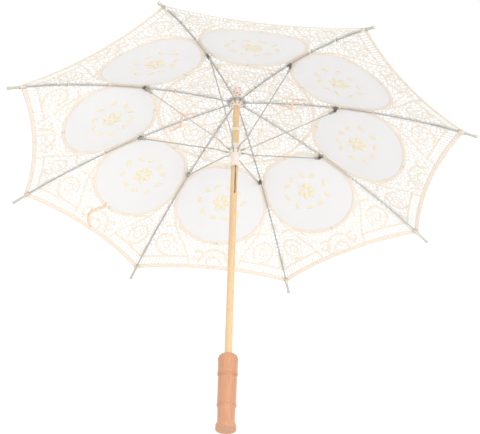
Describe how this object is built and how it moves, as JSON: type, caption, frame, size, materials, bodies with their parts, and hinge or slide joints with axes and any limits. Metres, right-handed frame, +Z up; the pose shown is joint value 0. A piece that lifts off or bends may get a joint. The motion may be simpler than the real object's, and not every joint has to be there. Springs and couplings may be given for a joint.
{
  "type": "lace parasol",
  "caption": "Open hand-held parasol with a scalloped cotton lace canopy on folding wire ribs, a wooden shaft, a sliding runner and a turned wooden handle.",
  "frame": {"origin": "middle of the handle's flat end, on the shaft's axis", "axes": "+Z up the shaft from the handle to the finial; rib 1 lies along +X; open canopy at the top"},
  "size_m": [0.8, 0.8, 0.6524],
  "materials": {
    "shaft_wood": "varnished pale dowel",
    "handle_wood": "varnished turned wood, reddish orange",
    "white_plastic": "moulded",
    "runner_plastic": "moulded, ivory",
    "wire_steel": "drawn wire",
    "rib_steel": "dark oxidised steel wire",
    "saddle_steel": "pressed steel, dark",
    "tip_metal": "plated, dulled",
    "cotton_lace": "cream cotton tape lace with plain cotton insets",
    "strap_tape": "woven tape",
    "snap_metal": "pressed snap"
  },
  "bodies": {
    "stick": {"shaft": "shaft_wood", "handle": "handle_wood", "finial": "handle_wood", "notch": "white_plastic", "notch_wire": "wire_steel", "notch_pin": "wire_steel", "stop_ring": "runner_plastic"},
    "runner": {"runner": "runner_plastic", "runner_wire": "wire_steel"},
    "catch": {"catch_spring": "wire_steel"},
    "rib_1": {"rib_1": "rib_steel", "rib_tip_1": "tip_metal", "rib_saddle_1": "saddle_steel", "canopy_cloth_1": "cotton_lace"},
    "stretcher_1": {"stretcher_1": "rib_steel"},
    "rib_2": {"rib_2": "rib_steel", "rib_tip_2": "tip_metal", "rib_saddle_2": "saddle_steel", "canopy_cloth_2": "cotton_lace"},
    "stretcher_2": {"stretcher_2": "rib_steel"},
    "rib_3": {"rib_3": "rib_steel", "rib_tip_3": "tip_metal", "rib_saddle_3": "saddle_steel", "canopy_cloth_3": "cotton_lace"},
    "stretcher_3": {"stretcher_3": "rib_steel"},
    "rib_4": {"rib_4": "rib_steel", "rib_tip_4": "tip_metal", "rib_saddle_4": "saddle_steel", "canopy_cloth_4": "cotton_lace"},
    "stretcher_4": {"stretcher_4": "rib_steel"},
    "rib_5": {"rib_5": "rib_steel", "rib_tip_5": "tip_metal", "rib_saddle_5": "saddle_steel", "canopy_cloth_5": "cotton_lace"},
    "stretcher_5": {"stretcher_5": "rib_steel"},
    "rib_6": {"rib_6": "rib_steel", "rib_tip_6": "tip_metal", "rib_saddle_6": "saddle_steel", "canopy_cloth_6": "cotton_lace", "tie_strap": "strap_tape", "strap_snap": "snap_metal"},
    "stretcher_6": {"stretcher_6": "rib_steel"},
    "rib_7": {"rib_7": "rib_steel", "rib_tip_7": "tip_metal", "rib_saddle_7": "saddle_steel", "canopy_cloth_7": "cotton_lace"},
    "stretcher_7": {"stretcher_7": "rib_steel"},
    "rib_8": {"rib_8": "rib_steel", "rib_tip_8": "tip_metal", "rib_saddle_8": "saddle_steel", "canopy_cloth_8": "cotton_lace"},
    "stretcher_8": {"stretcher_8": "rib_steel"}
  },
  "joints": [
    {"name": "runner_slide", "type": "slide", "parent": "stick", "child": "runner", "axis": [0, 0, -1], "range_m": [0, 0.2331], "deforming": ["catch_spring"]},
    {"name": "catch_press", "type": "hinge", "parent": "stick", "child": "catch", "pos_m": [0.00287, 0.00201, 0.4204], "axis": [0.5736, -0.8192, 0], "range_deg": [0, 3.8], "stiffness_Nm_per_rad": 1.7},
    {"name": "rib_1_fold", "type": "hinge", "parent": "stick", "child": "rib_1", "pos_m": [0.0085, 0, 0.61079], "axis": [0, 1, 0], "range_deg": [0, 64.5], "deforming": ["canopy_cloth_1"]},
    {"name": "stretcher_1_fold", "type": "hinge", "parent": "runner", "child": "stretcher_1", "pos_m": [0.0086, 0, 0.5054], "axis": [0, -1, 0], "range_deg": [0, 61.43]},
    {"name": "rib_2_fold", "type": "hinge", "parent": "stick", "child": "rib_2", "pos_m": [0.00601, 0.00601, 0.61079], "axis": [-0.7071, 0.7071, 0], "range_deg": [0, 64.5], "deforming": ["canopy_cloth_2"]},
    {"name": "stretcher_2_fold", "type": "hinge", "parent": "runner", "child": "stretcher_2", "pos_m": [0.00608, 0.00608, 0.5054], "axis": [0.7071, -0.7071, 0], "range_deg": [0, 61.43]},
    {"name": "rib_3_fold", "type": "hinge", "parent": "stick", "child": "rib_3", "pos_m": [0, 0.0085, 0.61079], "axis": [-1, 0, 0], "range_deg": [0, 64.5], "deforming": ["canopy_cloth_3"]},
    {"name": "stretcher_3_fold", "type": "hinge", "parent": "runner", "child": "stretcher_3", "pos_m": [0, 0.0086, 0.5054], "axis": [1, 0, 0], "range_deg": [0, 61.43]},
    {"name": "rib_4_fold", "type": "hinge", "parent": "stick", "child": "rib_4", "pos_m": [-0.00601, 0.00601, 0.61079], "axis": [-0.7071, -0.7071, 0], "range_deg": [0, 64.5], "deforming": ["canopy_cloth_4"]},
    {"name": "stretcher_4_fold", "type": "hinge", "parent": "runner", "child": "stretcher_4", "pos_m": [-0.00608, 0.00608, 0.5054], "axis": [0.7071, 0.7071, 0], "range_deg": [0, 61.43]},
    {"name": "rib_5_fold", "type": "hinge", "parent": "stick", "child": "rib_5", "pos_m": [-0.0085, 0, 0.61079], "axis": [0, -1, 0], "range_deg": [0, 64.5], "deforming": ["canopy_cloth_5"]},
    {"name": "stretcher_5_fold", "type": "hinge", "parent": "runner", "child": "stretcher_5", "pos_m": [-0.0086, 0, 0.5054], "axis": [0, 1, 0], "range_deg": [0, 61.43]},
    {"name": "rib_6_fold", "type": "hinge", "parent": "stick", "child": "rib_6", "pos_m": [-0.00601, -0.00601, 0.61079], "axis": [0.7071, -0.7071, 0], "range_deg": [0, 64.5], "deforming": ["canopy_cloth_6", "tie_strap", "strap_snap"]},
    {"name": "stretcher_6_fold", "type": "hinge", "parent": "runner", "child": "stretcher_6", "pos_m": [-0.00608, -0.00608, 0.5054], "axis": [-0.7071, 0.7071, 0], "range_deg": [0, 61.43]},
    {"name": "rib_7_fold", "type": "hinge", "parent": "stick", "child": "rib_7", "pos_m": [0, -0.0085, 0.61079], "axis": [1, 0, 0], "range_deg": [0, 64.5], "deforming": ["canopy_cloth_7"]},
    {"name": "stretcher_7_fold", "type": "hinge", "parent": "runner", "child": "stretcher_7", "pos_m": [0, -0.0086, 0.5054], "axis": [-1, 0, 0], "range_deg": [0, 61.43]},
    {"name": "rib_8_fold", "type": "hinge", "parent": "stick", "child": "rib_8", "pos_m": [0.00601, -0.00601, 0.61079], "axis": [0.7071, 0.7071, 0], "range_deg": [0, 64.5], "deforming": ["canopy_cloth_8"]},
    {"name": "stretcher_8_fold", "type": "hinge", "parent": "runner", "child": "stretcher_8", "pos_m": [0.00608, -0.00608, 0.5054], "axis": [-0.7071, -0.7071, 0], "range_deg": [0, 61.43]}
  ],
  "couplings": [
    {"joint": "rib_1_fold", "follows": "runner_slide", "rad_per_m": 4.8294},
    {"joint": "stretcher_1_fold", "follows": "runner_slide", "rad_per_m": 4.5996},
    {"joint": "rib_2_fold", "follows": "runner_slide", "rad_per_m": 4.8294},
    {"joint": "stretcher_2_fold", "follows": "runner_slide", "rad_per_m": 4.5996},
    {"joint": "rib_3_fold", "follows": "runner_slide", "rad_per_m": 4.8294},
    {"joint": "stretcher_3_fold", "follows": "runner_slide", "rad_per_m": 4.5996},
    {"joint": "rib_4_fold", "follows": "runner_slide", "rad_per_m": 4.8294},
    {"joint": "stretcher_4_fold", "follows": "runner_slide", "rad_per_m": 4.5996},
    {"joint": "rib_5_fold", "follows": "runner_slide", "rad_per_m": 4.8294},
    {"joint": "stretcher_5_fold", "follows": "runner_slide", "rad_per_m": 4.5996},
    {"joint": "rib_6_fold", "follows": "runner_slide", "rad_per_m": 4.8294},
    {"joint": "stretcher_6_fold", "follows": "runner_slide", "rad_per_m": 4.5996},
    {"joint": "rib_7_fold", "follows": "runner_slide", "rad_per_m": 4.8294},
    {"joint": "stretcher_7_fold", "follows": "runner_slide", "rad_per_m": 4.5996},
    {"joint": "rib_8_fold", "follows": "runner_slide", "rad_per_m": 4.8294},
    {"joint": "stretcher_8_fold", "follows": "runner_slide", "rad_per_m": 4.5996}
  ]
}
